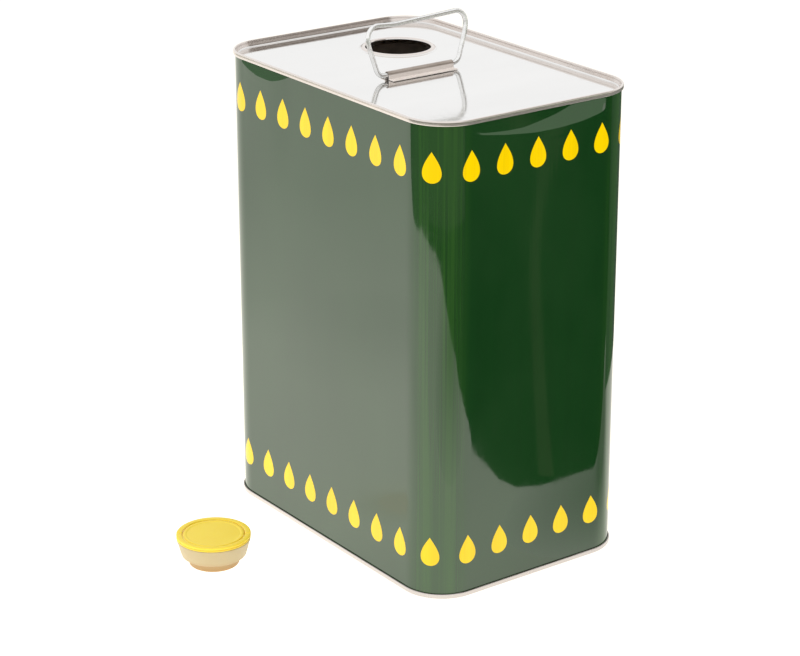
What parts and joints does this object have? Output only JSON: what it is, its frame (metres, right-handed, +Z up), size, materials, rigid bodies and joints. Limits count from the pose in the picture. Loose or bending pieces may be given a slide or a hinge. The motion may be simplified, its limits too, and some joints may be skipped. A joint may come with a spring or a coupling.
{
  "type": "rectangular oil tin",
  "caption": "Tall rectangular lacquered oil tin with rounded corners, seamed bright ends, a folding wire bail and a press-in plastic closure standing beside it.",
  "frame": {"origin": "on the floor, at the centre of the footprint of the tin and the closure that stands in front of it", "axes": "+Z up; +X along the tin's broad sides; -Y from the tin towards the closure"},
  "size_m": [0.2324, 0.2542, 0.3378],
  "materials": {
    "green_lacquer": "gloss dark green lacquer with a row of yellow drops near each end",
    "tinplate": "bright tinplate, nearly a mirror",
    "saddle_tinplate": "bright tinplate strip with spot-weld marks",
    "galvanised_wire": "satin drawn steel wire",
    "seam_compound": "matt sealing compound",
    "cream_plastic": "milky natural polyethylene",
    "yellow_plastic": "satin yellow polyethylene"
  },
  "bodies": {
    "tin": {"body_shell": "green_lacquer", "top_end": "tinplate", "bottom_end": "tinplate", "top_seam_compound": "seam_compound", "bottom_seam_compound": "seam_compound", "handle_saddle": "saddle_tinplate"},
    "handle": {"handle_wire": "galvanised_wire"},
    "closure": {"closure_body": "cream_plastic"},
    "spout": {"pouring_spout": "cream_plastic"},
    "cap": {"closure_cap": "yellow_plastic"},
    "front_ring": {"pull_ring_front": "yellow_plastic"},
    "back_ring": {"pull_ring_back": "yellow_plastic"}
  },
  "joints": [
    {"name": "handle_swing", "type": "hinge", "parent": "tin", "child": "handle", "pos_m": [0.004, 0.04845, 0.3038], "axis": [0, 1, 0], "range_deg": [-85, 95]},
    {"name": "closure_lift", "type": "slide", "parent": "tin", "child": "closure", "axis": [0, 0, 1], "range_m": [0, 0.34]},
    {"name": "spout_pull", "type": "slide", "parent": "closure", "child": "spout", "axis": [0, 0, 1], "range_m": [0, 0.009]},
    {"name": "cap_lift", "type": "slide", "parent": "spout", "child": "cap", "axis": [0, 0, 1], "range_m": [0, 0.02]},
    {"name": "front_ring_fold", "type": "hinge", "parent": "cap", "child": "front_ring", "pos_m": [-0.01628, -0.10409, 0.0194], "axis": [-0.5976, -0.8018, 0], "range_deg": [0, 90]},
    {"name": "back_ring_fold", "type": "hinge", "parent": "cap", "child": "back_ring", "pos_m": [-0.01772, -0.10301, 0.0194], "axis": [0.5976, 0.8018, 0], "range_deg": [0, 90]}
  ]
}
